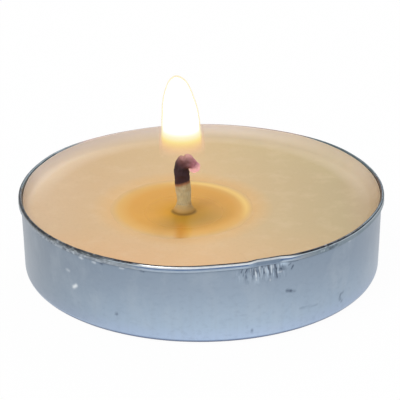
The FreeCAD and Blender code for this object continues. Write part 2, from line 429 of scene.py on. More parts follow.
def cup_angles():
    """Angles round the cup: closer together over the dent and the crimps."""
    angles = []
    a = -180.0
    while a < 180.0 - 1e-6:
        angles.append(a)
        if abs(a - DENT) < 10.5:
            a += 0.15
        elif -160 < a < -20:
            a += 0.5
        else:
            a += 1.0
    return angles


def cup_line(degrees):
    """The whole section at one angle: each point and its colour."""
    line = [(r, z, wall_tint(degrees, z)) for r, z in floor_profile(0.0)]
    foot = line[-1][1]
    rim = rim_profile(degrees)
    ceiling = TOP + rim[0][1]
    for i in range(1, WALL_ROWS + 1):
        z = blend(foot, ceiling, (i / WALL_ROWS) ** 0.7)
        line.append((wall_radius(z, 0.0), z, wall_tint(degrees, z)))
    for r, z, turn in rim:
        line.append((RIM + r, TOP + z, rim_tint(degrees, z, turn)))
    inner_foot = floor_profile(SHEET)
    for i in range(1, INNER_ROWS + 1):
        z = blend(TOP + rim[-1][1], inner_foot[-1][1], i / INNER_ROWS)
        line.append((wall_radius(z, SHEET), z, inner_tint(degrees)))
    line += [(r, z, INNER_GREY) for r, z in inner_foot[::-1][1:]]
    placed = []
    a = math.radians(degrees)
    for r, z, tint in line:
        in_rim = smooth((z - RIM_FROM) / 0.2)
        radius = r
        if r > PANEL_RADIUS + 2:
            radius = r - pushed_in(degrees, z) + crimped(degrees, z) * in_rim + widened(degrees, z)
        z -= sagged(degrees) * smooth((z - 4) / 3)
        placed.append(((radius * math.cos(a), radius * math.sin(a), z), colour(*tint)))
    return placed


# The wall's grey-blue, with painted reflection and shade down it: darker just under the rim, lighter towards
# the foot, and a painted dark band of shade at the foot's corner.
WALL_TONES = (
    # level under the rim, colour
    (ROLL_END, (126, 140, 157)), (0.95, (148, 163, 180)), (2.5, (154, 169, 186)), (4.5, (164, 181, 199)),
    (6.5, (174, 193, 213)), (7.6, (180, 199, 225)), (7.88, (182, 202, 230)), (8.0, (110, 128, 162)),
    (8.08, (72, 88, 124)), (8.5, (66, 80, 112)),
)
SIDE_SHADE = (
    # angle, how far the wall's tone moves to slate
    (-180, 0.34), (-150, 0.26), (-125, 0.16), (-95, 0.03), (-75, 0.0), (-52, 0.12), (-38, 0.2), (-20, 0.3),
    (0, 0.36), (180, 0.34),
)
# Painted shade towards the sides and back.
SLATE = (84, 94, 108)
INNER_GREY = (150, 150, 150)
# Painted shade in the dark strokes.
DEEP_SLATE = (52, 62, 80)
# Painted reflection tone on the left and back.
LEFT_TONE = (152, 160, 168)
# Painted shade line in the creases and under the rim's lower edge.
SHADE_LINE = (70, 84, 104)
# Painted highlight on the dimple and the creases under the dent.
DENT_HIGHLIGHT = (206, 226, 244)
# Painted white highlight on the rim, and the white of the light strokes.
WHITE_LINE = (252, 255, 255)
# Painted dark reflection on the rim.
RIM_DARK_REFLECTION = (76, 78, 78)
# Painted shade line where the rim meets the wax.
RIM_SHADE_LINE = (34, 28, 30)
# Painted pinkish reflection of the wax on the far rim's inner side.
WAX_REFLECTION = (170, 140, 130)
# Painted grey-teal reflection tone of the rim on the right.
TEAL_RIM = (120, 135, 145)

# Painted shade and highlights along the creases under the dent, a painted shadow line under the pressed rim,
# painted glints and shade of the crimps just under the rim, and a few real light and dark marks on the wall.
STROKES = (
    # from an angle and level to another, half width in mm, how much lighter, or darker if under 0
    (-69.6, 0.80, -69.55, 1.22, 0.10, -1.0), (-67.6, 0.74, -67.1, 1.25, 0.08, -0.9),
    (-67.1, 1.25, -66.9, 2.15, 0.07, -0.8), (-74.3, 0.92, -74.27, 1.58, 0.07, -0.8),
    (-76.3, 0.76, -77.05, 1.18, 0.07, -0.7), (-77.9, 0.78, -78.3, 1.14, 0.06, -0.6),
    (-71.85, 0.70, -71.55, 0.95, 0.07, -0.7), (-72.6, 1.35, -72.58, 1.75, 0.05, -0.55),
    (-71.15, 1.02, -71.15, 1.5, 0.06, -0.6), (-69.2, 1.34, -69.2, 1.82, 0.05, -0.55),
    (-61.6, 1.25, -62.2, 1.56, 0.08, -0.6), (-65.9, 1.30, -65.2, 1.42, 0.06, -0.4),
    (-67.2, 0.68, -60.0, 0.74, 0.09, -0.8), (-75.8, 0.70, -67.2, 0.72, 0.10, -0.9),
    (-63.2, 1.16, -62.4, 0.95, 0.05, -0.5), (-73.9, 0.90, -73.56, 1.80, 0.07, 0.7),
    (-72.42, 0.78, -72.41, 1.40, 0.07, 0.6), (-68.75, 0.82, -68.73, 1.52, 0.06, 0.7),
    (-68.15, 0.74, -68.12, 1.10, 0.06, 0.6), (-66.6, 1.66, -65.3, 1.60, 0.07, 0.55),
    (-69.25, 2.24, -69.2, 2.30, 0.08, 0.5), (-73.6, 2.0, -73.55, 2.06, 0.07, 0.5),
    (-70.6, 1.05, -70.5, 1.5, 0.05, 0.5), (-75.4, 0.85, -75.2, 1.3, 0.06, 0.5),
    (-66.3, 1.0, -66.1, 1.25, 0.06, 0.4), (-63.9, 3.62, -62.6, 3.72, 0.16, -0.45),
    (-62.6, 3.72, -61.2, 3.86, 0.12, -0.25), (-132.1, 4.50, -130.9, 4.20, 0.20, 0.8),
    (-134.7, 2.86, -133.7, 2.9, 0.14, 0.35), (-116.2, 5.94, -116.1, 6.0, 0.15, -0.5),
    (-75.1, 7.2, -75.0, 7.26, 0.14, -0.4), (-124.0, 7.31, -115.9, 7.34, 0.11, -0.3),
    (-59.5, 5.80, -53.0, 6.0, 0.10, -0.15), (-128.7, 0.9, -127.9, 0.95, 0.14, 0.6),
    (-123.8, 0.95, -123.0, 0.98, 0.13, 0.5), (-121.2, 0.85, -120.4, 0.9, 0.12, -0.5),
    (-114.4, 0.86, -113.4, 0.88, 0.12, 0.5), (-107.8, 0.82, -107.0, 0.84, 0.11, -0.4),
    (-38.8, 0.80, -38.2, 0.84, 0.13, 0.5), (-41.6, 5.92, -43.0, 6.1, 0.12, -0.3),
    (-43.0, 6.1, -43.2, 6.5, 0.12, -0.3), (-43.2, 6.5, -41.7, 7.0, 0.12, -0.3),
)
MM_PER_DEGREE = math.radians(RIM)  # along the rim


def stroked(degrees, level):
    """Painted light (above 0) and dark (under 0) strokes on the wall: shade and highlights along creases, a
    shadow line and glints under the rim, and real marks.
    """
    total = 0.0
    for from_angle, from_level, to_angle, to_level, half, light in STROKES:
        if not min(from_angle, to_angle) - 1.5 < degrees < max(from_angle, to_angle) + 1.5:
            continue
        if not min(from_level, to_level) - 0.4 < level < max(from_level, to_level) + 0.4:
            continue
        run, fall = (to_angle - from_angle) * MM_PER_DEGREE, to_level - from_level
        across, down = (degrees - from_angle) * MM_PER_DEGREE, level - from_level
        share = min(1.0, max(0.0, (across * run + down * fall) / max(run * run + fall * fall, 1e-9)))
        distance = math.hypot(across - share * run, down - share * fall)
        total += light * bell(distance, half * 1.6)
    return total


def wall_tint(degrees, z):
    """Colour of the wall outside: painted reflection and shade down and round it, a painted highlight on the
    dimple, painted shade and highlights on the dent's wrinkles, and the strokes and marks.
    """
    level = TOP - z
    tint = tone_at(WALL_TONES, level)
    # Painted reflection tone on the left and back, then painted shade towards the sides.
    if level < 7.8:
        leftward = max(smooth((-112 - degrees) / 45), smooth((degrees - 110) / 60))
        tint = toned(tint, LEFT_TONE, 0.6 * leftward)
    tint = toned(tint, SLATE, through(SIDE_SHADE, degrees))
    # Painted highlight on the dimple.
    tint = toned(tint, DENT_HIGHLIGHT, 0.6 * bell(degrees - DIMPLE[0], 2.4) * bell(level - 0.95, 0.6))
    # Painted highlight and shade on the dent's wrinkles.
    wrinkle = wrinkled(degrees, level)
    tint = toned(tint, DENT_HIGHLIGHT, 0.7 * wrinkle)
    tint = toned(tint, SHADE_LINE, -0.7 * wrinkle)
    # Painted highlights and shade of the strokes, with the real marks.
    light = stroked(degrees, level)
    tint = toned(tint, WHITE_LINE, light)
    return toned(tint, DEEP_SLATE, -light)


def rim_white(degrees):
    """How much of the rim's top shines white at an angle."""
    return smooth((degrees + 113) / 8) * smooth((-57 - degrees) / 7)


def inner_tint(degrees):
    """Colour of the rim's inner side, a painted reflection: light and pinkish from the wax on the far side,
    slate left and teal right.
    """
    far = smooth((degrees - 47) / 8) * smooth((140 - degrees) / 8)
    sides = toned((108, 121, 124), (92, 102, 106), smooth((abs(degrees) - 90) / 40))
    return toned(sides, WAX_REFLECTION, far)


def rim_tint(degrees, z, turn):
    """Colour of the rolled rim: a painted white highlight towards the camera's side, painted dark reflections
    and shade elsewhere, and painted glints and shade on the crimps.
    """
    shine = rim_white(degrees)
    facet = facet_share(degrees)
    right = smooth((degrees + 60) / 10)
    side_reflection = toned(LEFT_TONE, TEAL_RIM, right)
    crimp_light_and_shade = wobble(22, degrees * 1.1, z * 5) + 0.5 * wobble(23, degrees * 2.7, z * 9)
    busy = bell(degrees + 132, 34) + bell(degrees + 49, 7)
    behind = smooth((degrees - 6) / 10)
    # Painted dark reflection on the rim at the left and back.
    left_dark_reflection = max(smooth((-116 - degrees) / 6), smooth((degrees - 150) / 25))
    if turn is not None:
        # The fold: painted white highlight towards the camera's side, painted dark reflection elsewhere, a
        # painted shade line where it meets the wax, and a painted brownish reflection of the wax on its inner
        # side.
        edge = blend(24, 44, shine)
        top = toned((186, 202, 214), WHITE_LINE, shine)
        top = toned(top, RIM_DARK_REFLECTION, (1 - shine) * smooth((turn - 4) / 20))
        line = toned((78, 90, 98), RIM_SHADE_LINE, smooth((-26 - degrees) / 16))
        tint = toned(top, line, smooth((turn - edge) / 10))
        tint = toned(tint, (120, 100, 90), smooth((turn - 95) / 20))
        tint = toned(tint, (78, 80, 80), 0.8 * left_dark_reflection)
        tint = toned(tint, inner_tint(degrees), behind)
    else:
        # The skirt: painted highlight, a painted dark blue reflection at its waist, a painted light band on
        # its bead, painted dark reflection at its top, a painted shadow line at its lower edge, and painted
        # grey on the pressed facet.
        under = -z
        waist = bell(under - 0.33, 0.11)
        lower = bell(under - 0.52, 0.14)
        tint = toned(side_reflection, (164, 180, 197), shine)
        tint = toned(tint, (46, 78, 132), 0.9 * waist * shine * (1 - facet))
        tint = toned(tint, (214, 226, 236), 0.4 * lower * shine * (1 - facet))
        tint = toned(tint, RIM_DARK_REFLECTION, 0.7 * (1 - shine) * bell(under - 0.2, 0.16))
        tint = toned(tint, (78, 80, 80), 0.85 * left_dark_reflection * smooth((0.4 - under) / 0.15))
        tint = toned(tint, SHADE_LINE, 0.75 * smooth((under - 0.58) / 0.08))
        tint = toned(tint, (140, 158, 180), 0.85 * facet * smooth((0.62 - under) / 0.08))
    # Painted glints and shade on the rim's crimps.
    tint = toned(tint, (232, 242, 248), 0.8 * busy * max(0.0, crimp_light_and_shade - 0.12))
    return toned(tint, (66, 72, 80), 1.2 * busy * max(0.0, -crimp_light_and_shade - 0.12))


def make_cup():
    columns = [(degrees, cup_line(degrees)) for degrees in cup_angles()]
    rows = range(len(columns[0][1]))
    rings = [[line[row][0] for _, line in columns] for row in rows]
    tints = [[line[row][1] for _, line in columns] for row in rows]
    masks = [[dented(degrees, point) for (degrees, _), point in zip(columns, ring)] for ring in rings]
    attributes = {"tint": tints, "dented": masks}
    piece = mesh_piece("drawn_cup", rings, "capped", attributes, "cup")
    piece.data.materials.append(aluminium())


def aluminium():
    """Thin drawn aluminium: the tint attribute's painted reflection, shade and highlight tones, with faint
    draw lines, stains and fine grain over them, and painted shade and highlights in the creases under the
    dent.
    """
    n = Nodes("aluminium")
    base = n.attribute("tint", "Color")
    streaks = n.noise(n.place((1.0, 1.0, 0.05)), 1900.0, 3.0, 0.6)
    base = n.mix(n.over(streaks, 0.45, 0.5), base, colour(150, 162, 176))
    stains = n.noise(n.place((1.0, 1.0, 0.7)), 330.0, 4.0, 0.6)
    base = n.mix(n.over(stains, 0.5, 0.9), base, colour(196, 206, 214))
    grain = n.noise(n.place((1.0, 1.0, 1.6)), 1500.0, 4.0, 0.6)
    base = n.mix(n.over(grain, 0.5, 0.9), base, colour(128, 142, 160))
    # Painted shade and highlights along the fine creases under the dent.
    creased = n.noise(n.place((1.0, 1.0, 0.25)), 3600.0, 2.0, 0.5)
    share = n.over(creased, 0.54, 5.0)
    base = n.mix(n.math("MULTIPLY", share, n.attribute("dented")), base, colour(76, 90, 112))
    share = n.over(0.44, creased, 5.0)
    base = n.mix(n.math("MULTIPLY", share, n.attribute("dented")), base, colour(200, 216, 232))
    rough = n.math("ADD", n.math("MULTIPLY", stains, 0.16), 0.26)
    normal = n.bump(streaks, 0.000008, 0.5)
    normal = n.bump(grain, 0.00002, 0.4, normal)
    inputs = {"Base Color": base, "Metallic": 1.0, "Roughness": rough, "Normal": normal}
    return n.shader(n.add("ShaderNodeBsdfPrincipled", inputs).outputs[0])


# Wax and melt pool: rings about the wick's axis, stretched out to the cup's wall

POOL_X = -2.0
POOL_Y = -1.95
POOL_RADIUS = 7.2
POOL_DEPTH = 1.3
COLLAR_TOP = 1.0  # how high the molten wax creeps up the wick
AROUND = 240


def to_circle(a, middle_x, middle_y, radius):
    """How far a ray from the wick's axis goes to reach a circle."""
    dx, dy = math.cos(a), math.sin(a)
    ox, oy = WICK_X - middle_x, WICK_Y - middle_y
    along = ox * dx + oy * dy
    return -along + math.sqrt(along * along - ox * ox - oy * oy + radius * radius)


def wall_reach(a, z, inside):
    """Distance from the wick's axis out to the cup's wall, in direction a and at height z."""
    far = to_circle(a, 0, 0, wall_radius(z, inside))
    x = WICK_X + far * math.cos(a)
    y = WICK_Y + far * math.sin(a)
    degrees = math.degrees(math.atan2(y, x))
    return far - pushed_in(degrees, z) + widened(degrees, z)


def pool_reach(a):
    """Distance from the wick's axis to the edge of the melt pool."""
    edge = to_circle(a, POOL_X, POOL_Y, POOL_RADIUS)
    edge += 0.14 * wobble(5, 3 * math.cos(a), 3 * math.sin(a))
    return edge + 0.05 * wobble(6, 9 * math.cos(a), 9 * math.sin(a))


def spread(distance_and_height):
    """A ring whose distance and height at each direction come from a function."""
    ring = []
    for i in range(AROUND):
        a = 2 * math.pi * i / AROUND
        far, z = distance_and_height(a)
        ring.append((WICK_X + far * math.cos(a), WICK_Y + far * math.sin(a), z))
    return ring


def round_wick(radius, z):
    """A ring about the wick's axis."""
    return spread(lambda a: (radius, z))


BORE = 0.74  # radius of the hole for the wick
GAP = 0.04  # between the wax and the cup
SKIN = 0.06  # thickness of the wax where its climb ends
SLOPE = 2.2  # width of the wax that falls away towards the pool
CLIMB = 1.21  # how far the wax climbs the wall on the far side
DISC_ROOM = 6.3  # radius of the hollow for the sustainer's disc
NECK_ROOM = 1.2  # radius of the hollow for its neck
DISC_CLEAR = 0.25  # height of the disc's hollow
NECK_CLEAR = 3.05  # height of the neck's hollow


def climb_at(a):
    """How far the wax climbs the wall, in a direction from the wick: highest on the far side."""
    degrees = math.degrees(a) % 360
    left = plateau(degrees - 196, 44)
    near = plateau(degrees - 270, 60)
    right = bell(min(degrees, 360 - degrees), 30)
    return CLIMB - 0.34 * left - 0.3 * near - 0.12 * right


def wax_height(x, y):
    """The set wax is nearly level, with low swells where it cooled."""
    return FILL + 0.035 * wobble(7, x / 5, y / 5) + 0.012 * wobble(8, x / 1.3, y / 1.3)


def wax_top_ring(share):
    """From the pool's edge (0) out to where the wax starts to climb (1)."""
    def at(a):
        start = pool_reach(a)
        stop = wall_reach(a, FILL, SHEET + GAP) - SKIN - climb_at(a)
        far = blend(start, stop, share)
        edge = min(1.0, (far - start) / SLOPE)
        z = wax_height(WICK_X + far * math.cos(a), WICK_Y + far * math.sin(a))
        return far, blend(POOL_LEVEL - 0.02, z, math.sin(edge * math.pi / 2))
    return at


def wax_climb_ring(degrees_up):
    a_up = math.radians(degrees_up)

    def at(a):
        climb = climb_at(a)
        edge = wall_reach(a, FILL + climb, SHEET + GAP) - SKIN
        ragged = 1 + 0.03 * wobble(9, 6 * math.cos(a), 6 * math.sin(a))
        far = edge - climb + climb * math.sin(a_up)
        base = wax_height(WICK_X + (edge - climb) * math.cos(a), WICK_Y + (edge - climb) * math.sin(a))
        return far, base + climb * (1 - math.cos(a_up)) * ragged
    return at


def make_wax():
    def pool_floor(share):
        def at(a):
            far = blend(BORE, pool_reach(a), share)
            return far, POOL_LEVEL - 0.02 - POOL_DEPTH * (1 - share ** 2)
        return at

    def skin_end(a):
        top = FILL + climb_at(a)
        return wall_reach(a, top, SHEET + GAP), top - SKIN

    def wall(z):
        return lambda a: (wall_reach(a, z, SHEET + GAP), z)

    rings = [spread(pool_floor(i / 8)) for i in range(8)]
    shares = [0, 0.006, 0.012, 0.02, 0.045, 0.08, 0.13, 0.2] + [0.2 + 0.8 * i / 14 for i in range(1, 15)]
    rings += [spread(wax_top_ring(share)) for share in shares]
    rings += [spread(wax_climb_ring(up)) for up in (12, 24, 36, 48, 60, 72, 84, 90)]
    rings.append(spread(skin_end))
    rings += [spread(wall(z)) for z in (7.6, 7.2, 6.5, 5.0, 3.5, 2.0, CORNER)]
    inside = SHEET + GAP
    floor_middle = wall_radius(CORNER, CORNER)
    for r, z in arc(floor_middle, CORNER, CORNER - inside, -15, -75, 4):
        rings.append(spread(lambda a, r=r, z=z: (to_circle(a, 0, 0, r), z)))
    for r, z in ((PANEL_RADIUS + PANEL_RUN + 0.1, inside), (PANEL_RADIUS, PANEL_RISE + inside)):
        rings.append(spread(lambda a, r=r, z=z: (to_circle(a, 0, 0, r), z)))
    sustainer_room = ((DISC_ROOM, 0.0), (DISC_ROOM, DISC_CLEAR), (NECK_ROOM, DISC_CLEAR),
                      (NECK_ROOM, NECK_CLEAR), (BORE, NECK_CLEAR))
    for radius, up in sustainer_room:
        rings.append(round_wick(radius, PANEL_RISE + inside + up))
    piece = mesh_piece("set_wax", rings, "joined", node="wax")
    piece.data.materials.append(set_wax())


def set_wax():
    """Cream wax: a painted warm glow of the flame's light at the near left, cooler and olive to the right,
    amber round the pool, slightly mottled, with a satin skin, and painted light on the wax that climbs the
    wall.
    """
    n = Nodes("set_wax")
    x_mm, y_mm, z_mm = n.in_mm()
    across = n.math("ADD", n.math("DIVIDE", x_mm, 2 * RIM), 0.5)
    base = n.ramp(across, (0.0, colour(206, 177, 144)), (0.2, colour(203, 170, 128)),
                  (0.5, colour(208, 175, 128)), (0.7, colour(192, 166, 122)),
                  (0.88, colour(178, 157, 115)), (1.0, colour(172, 146, 114)))
    deep = n.math("ADD", n.math("DIVIDE", y_mm, 2 * RIM), 0.5)
    olive = n.over(deep, 0.6, 1.6)
    base = n.mix(n.math("MULTIPLY", olive, across), base, colour(190, 174, 128))
    # Painted warm glow of the flame's light at the near left.
    near = n.over(0.32, deep, 2.0)
    near_left = n.math("MULTIPLY", near, n.math("SUBTRACT", 1.25, across, clamp=True))
    base = n.mix(near_left, base, colour(226, 171, 122))
    base = n.mix(n.math("MULTIPLY", from_pool(n, x_mm, y_mm, 1.32, 1.0), 0.8), base, colour(212, 166, 104))
    mottle = n.noise(n.place(), 420.0, 4.0, 0.6)
    base = n.mix(n.over(mottle, 0.5, 0.9), base, colour(220, 196, 158))
    grain = n.noise(n.place(), 3200.0, 3.0, 0.6)
    base = n.mix(n.over(grain, 0.5, 0.5), base, colour(166, 138, 100))
    # Painted light on the wax that climbs the wall, strongest on the far side and at the far corner, weaker
    # to the right.
    edge = n.over(z_mm, FILL + 0.02, 1.15)
    behind = n.over(deep, 0.45, 5.0)
    climbed = n.mix(behind, colour(196, 172, 150), colour(238, 222, 212))
    rightward = n.over(across, 0.55, 3.0)
    corner = n.over(n.length(x_mm, y_mm), 15.6, 0.5)
    base = n.mix(n.math("MULTIPLY", n.math("MULTIPLY", corner, behind), 0.42), base, colour(232, 214, 190))
    strength = n.math("SUBTRACT", 0.9, n.math("MULTIPLY", rightward, 0.62))
    base = n.mix(n.math("MULTIPLY", edge, strength), base, climbed)
    normal = n.bump(mottle, 0.00005, 0.4)
    normal = n.bump(grain, 0.00001, 0.4, normal)
    inputs = {"Base Color": base, "Roughness": 0.5, "Normal": normal, "Specular IOR Level": 0.3,
              "Subsurface Weight": 0.12, "Subsurface Radius": (0.002, 0.0012, 0.0007),
              "Subsurface Scale": 0.6}
    return n.shader(n.add("ShaderNodeBsdfPrincipled", inputs).outputs[0])


def from_pool(n, x_mm, y_mm, far, near):
    """A share that is 0 at far times the pool's radius from its middle and 1 at near times it."""
    x = n.math("SUBTRACT", x_mm, POOL_X)
    y = n.math("SUBTRACT", y_mm, POOL_Y)
    out = n.math("DIVIDE", n.length(x, y), POOL_RADIUS)
    return n.over(far, out, 1 / (far - near))


def make_melt_pool():
    def surface(share):
        def at(a):
            far = blend(BORE + 0.01, pool_reach(a) - 0.3, share)
            creep = COLLAR_TOP * math.exp(-(far - BORE) / 0.26) + 0.08 * math.exp(-(far - BORE) / 0.8)
            return far, POOL_LEVEL + creep
        return at

    def underside(share):
        def at(a):
            far = blend(BORE + 0.01, pool_reach(a) - 0.04, share)
            return far, POOL_LEVEL + 0.005 - (POOL_DEPTH - 0.03) * (1 - share ** 2)
        return at

    shares = [0, 0.006, 0.013, 0.021, 0.03, 0.042, 0.056, 0.075, 0.1, 0.14]
    shares += [0.2, 0.3, 0.42, 0.55, 0.68, 0.8, 0.9, 1.0]
    rings = [spread(surface(share)) for share in shares]
    for beyond in (0.0, 0.2, 0.38):
        rings.append(spread(lambda a, beyond=beyond: (pool_reach(a) + beyond, POOL_LEVEL)))
    rings += [spread(underside(share)) for share in (0.98, 0.9, 0.75, 0.5, 0.25, 0.0)]
    piece = mesh_piece("melt_pool", rings, "joined", node="melt_pool")
    piece.data.materials.append(melted_wax())


def melted_wax():
    """Liquid wax: amber, clear and wet, brighter where the flame's light gathers at its far right edge."""
    n = Nodes("melted_wax")
    x_mm, y_mm, _ = n.in_mm()
    x = n.math("SUBTRACT", x_mm, POOL_X)
    y = n.math("SUBTRACT", y_mm, POOL_Y)
    inside = from_pool(n, x_mm, y_mm, 1.04, 0.0)
    base = n.ramp(inside, (0.0, colour(212, 172, 118)), (0.03, colour(212, 170, 112)),
                  (0.12, colour(213, 164, 86)), (0.3, colour(208, 150, 56)),
                  (0.75, colour(199, 143, 48)), (1.0, colour(188, 137, 46)))
    toward = n.math("ADD", n.math("MULTIPLY", x, 0.75), n.math("MULTIPLY", y, 0.66))
    band = n.around(inside, 0.11, 12.0)
    gathered = n.math("MULTIPLY", n.over(toward, 2.4, 0.3), band)
    base = n.mix(n.math("MULTIPLY", gathered, 0.8), base, colour(236, 196, 112))
    shade = n.math("SUBTRACT", n.math("MULTIPLY", x, 0.45), n.math("MULTIPLY", y, 0.9))
    dark = n.over(shade, 0.6, 0.3)
    dark = n.math("MULTIPLY", dark, n.over(inside, 0.2, 2.2))
    base = n.mix(dark, base, colour(150, 118, 40))
    swirl = n.noise(n.place(), 300.0, 3.0)
    base = n.mix(n.over(swirl, 0.5, 0.7), base, colour(184, 128, 40))
    wick_x = n.math("SUBTRACT", x_mm, WICK_X)
    wick_y = n.math("SUBTRACT", y_mm, WICK_Y)
    from_wick = n.length(wick_x, wick_y)
    front = n.over(0.35, wick_y, 1.4)
    glow = n.around(wick_x, -0.3, 1.1)
    glow = n.math("MULTIPLY", glow, n.over(-2.2, wick_y, 0.8))
    base = n.mix(n.math("MULTIPLY", glow, 0.6), base, colour(190, 120, 38))
    # Painted shade round the wick's foot at the front.
    foot = n.around(from_wick, 1.2, 4.0)
    base = n.mix(n.math("MULTIPLY", n.math("MULTIPLY", foot, front), 0.8), base, colour(104, 78, 44))
    creep = n.over(1.15, from_wick, 3.0)
    base = n.mix(creep, base, colour(194, 164, 114))
    close = n.over(5.5, from_wick, 0.26)
    rough = n.math("ADD", n.math("MULTIPLY", close, 0.4), 0.12)
    shine = n.math("SUBTRACT", 0.32, n.math("MULTIPLY", close, 0.24))
    inputs = {"Base Color": base, "Roughness": rough, "Specular IOR Level": shine,
              "Subsurface Weight": 0.1, "Subsurface Radius": (0.002, 0.001, 0.0004), "Subsurface Scale": 0.5}
    return n.shader(n.add("ShaderNodeBsdfPrincipled", inputs).outputs[0])


# Wick: a braid that stands up, swells where it is charred and curls over to +X

WICK_AROUND = 72
BRAID_PITCH = 2.3  # length of one turn of the strands
# Each side of the upright part: height over the wax and distance from the axis
TRUNK_LEFT = ((0.0, -0.72), (1.2, -0.71), (2.2, -0.80), (3.1, -0.93), (4.2, -0.96), (4.75, -0.90))
TRUNK_RIGHT = ((0.0, 0.78), (1.2, 0.77), (2.2, 0.72), (3.1, 0.70), (3.7, 0.66), (4.4, 0.52), (4.75, 0.46))
# The curled part about its hub: degrees round from -X, and the reach of its outer side
CURL = ((0, 1.39), (15, 1.38), (29, 1.47), (44, 1.52), (59, 1.53), (67, 1.31), (74, 1.42), (82, 1.52),
        (94, 1.45), (106, 1.33), (119, 1.18), (132, 1.09), (145, 1.05), (156, 1.16), (168, 1.2))
HUB_X = 0.5
HUB_Z = 4.75
HUB_RADIUS = 0.05  # inner radius of the curl
CHAR_FROM = 2.75
# The glowing end: place from the hub and radius
TIP = ((0.58, 0.06, 0.53), (0.60, -0.06, 0.53), (0.61, -0.18, 0.50), (0.60, -0.30, 0.42), (0.58, -0.39, 0.31),
       (0.56, -0.455, 0.18), (0.55, -0.48, 0.06))


def strand_relief(s, turn):
    """Height of the braid's surface: strands that wind both ways and pass over and under each other."""
    along = 2 * math.pi * s / BRAID_PITCH
    one = math.cos(4 * (turn - along / 4))
    other = math.cos(4 * (turn + along / 4))
    over = 0.5 + 0.5 * math.sin(along * 2)
    return max(blend(one, other - 0.3, over), blend(one - 0.3, other, 1 - over))


def wick_ring(middle, across, half_across, half_y, s):
    """One ring of the wick, at a length s along it, with its strands and its charred roughness."""
    charred = smooth((s - CHAR_FROM) / 0.9)
    strand_height = blend(0.015, 0.05, smooth((s - 1.4) / 1.2))
    ring = []
    for i in range(WICK_AROUND):
        turn = 2 * math.pi * i / WICK_AROUND
        x, y = math.cos(turn), math.sin(turn)
        rough = 0.05 * charred * wobble(11, x * 2.2, y * 2.2, s * 2.6)
        rough += 0.025 * charred * wobble(12, x * 6, y * 6, s * 7)
        grow = strand_height * strand_relief(s, turn) + rough
        ring.append(middle + across * ((half_across + grow) * x) + Vector((0, (half_y + grow) * y, 0)))
    return ring


def make_wick():
    rings = []
    lengths = []
    base = Vector((WICK_X, WICK_Y, FILL))
    bottom = -(FILL - PANEL_RISE - SHEET - 0.05)
    heights = [bottom, bottom + 1.5, bottom + 3.5, -0.6] + [-0.3 + 0.06 * i for i in range(84)]
    for z in heights:
        if z >= HUB_Z - 0.03:
            break
        left, right = through(TRUNK_LEFT, z), through(TRUNK_RIGHT, z)
        if z < -0.2:
            left, right = -0.68, 0.68
        half = (right - left) / 2
        middle = base + Vector(((left + right) / 2, 0, z))
        half_y = blend(0.70, 0.80, smooth((z - 2) / 1.5))
        rings.append(wick_ring(middle, Vector((1, 0, 0)), half, min(half_y, half + 0.05), z))
        lengths.append(z)
    for degrees in range(0, 172, 4):
        a = math.radians(180 - degrees)
        reach = through(CURL, degrees)
        out = Vector((math.cos(a), 0, math.sin(a)))
        half = (reach - HUB_RADIUS) / 2
        middle = base + Vector((HUB_X, 0, HUB_Z)) + out * (HUB_RADIUS + half)
        s = HUB_Z + 0.013 * degrees
        rings.append(wick_ring(middle, out * -1, half, blend(0.78, 0.55, degrees / 170), s))
        lengths.append(s)
    for x, z, radius in TIP:
        s = lengths[-1] + 0.06
        middle = base + Vector((HUB_X + x, 0, HUB_Z + z))
        rings.append(wick_ring(middle, Vector((-1, 0, 0)), radius, radius, s))
        lengths.append(s)
    turns = [2 * math.pi * i / WICK_AROUND for i in range(WICK_AROUND)]
    along = [[s - 0.24 * math.cos(turn) * smooth((4.2 - s) / 0.8) for turn in turns] for s in lengths]
    piece = mesh_piece("braided_wick", rings, "capped", {"along": along}, "wick")
    piece.data.materials.append(wick_cotton())


def wick_cotton():
    """Cotton soaked in wax at the foot, charred plum black above, with painted pink flame light on the curl
    and a glowing end that is partly the ember's own glow and partly painted flame light.
    """
    n = Nodes("wick_cotton")
    along = n.attribute("along")
    share = n.math("DIVIDE", along, 8.0, clamp=True)
    # The ramp's pinks on the curl are painted flame light.
    base = n.ramp(share, (0.0, colour(165, 130, 85)), (0.06, colour(186, 158, 112)),
                  (0.12, colour(204, 190, 150)), (0.16, colour(206, 196, 158)),
                  (0.365, colour(202, 190, 154)), (0.40, colour(168, 118, 84)),
                  (0.43, colour(60, 34, 40)), (0.62, colour(50, 29, 35)), (0.68, colour(96, 58, 60)),
                  (0.74, colour(132, 92, 97)), (0.80, colour(165, 105, 115)), (0.87, colour(178, 118, 130)))
    fibres = n.noise(n.place((1.0, 1.0, 0.3)), 7000.0, 4.0, 0.65)
    base = n.mix(n.over(fibres, 0.45, 1.0), base, colour(26, 14, 20), "MULTIPLY")
    # The glowing end: partly the ember's own glow, partly painted flame light.
    glow_along = n.over(along, 6.6, 2.2)
    coal = n.noise(n.place(), 2600.0, 3.0, 0.6)
    glow = n.math("MULTIPLY", glow_along, n.math("ADD", n.math("MULTIPLY", coal, 1.4), 0.1), clamp=True)
    tint = n.mix(glow, (0.0, 0.0, 0.0, 1.0), colour(255, 196, 190))
    rough = n.ramp(share, (0.0, (0.25, 0.25, 0.25)), (0.27, (0.3, 0.3, 0.3)), (0.4, (0.85, 0.85, 0.85)))
    normal = n.bump(fibres, 0.00004, 0.6)
    inputs = {"Base Color": base, "Roughness": rough, "Normal": normal,
              "Emission Color": tint, "Emission Strength": 0.75}
    return n.shader(n.add("ShaderNodeBsdfPrincipled", inputs).outputs[0])


# Flame: faint thin shells one inside the other, so that the middle is the brightest from any side

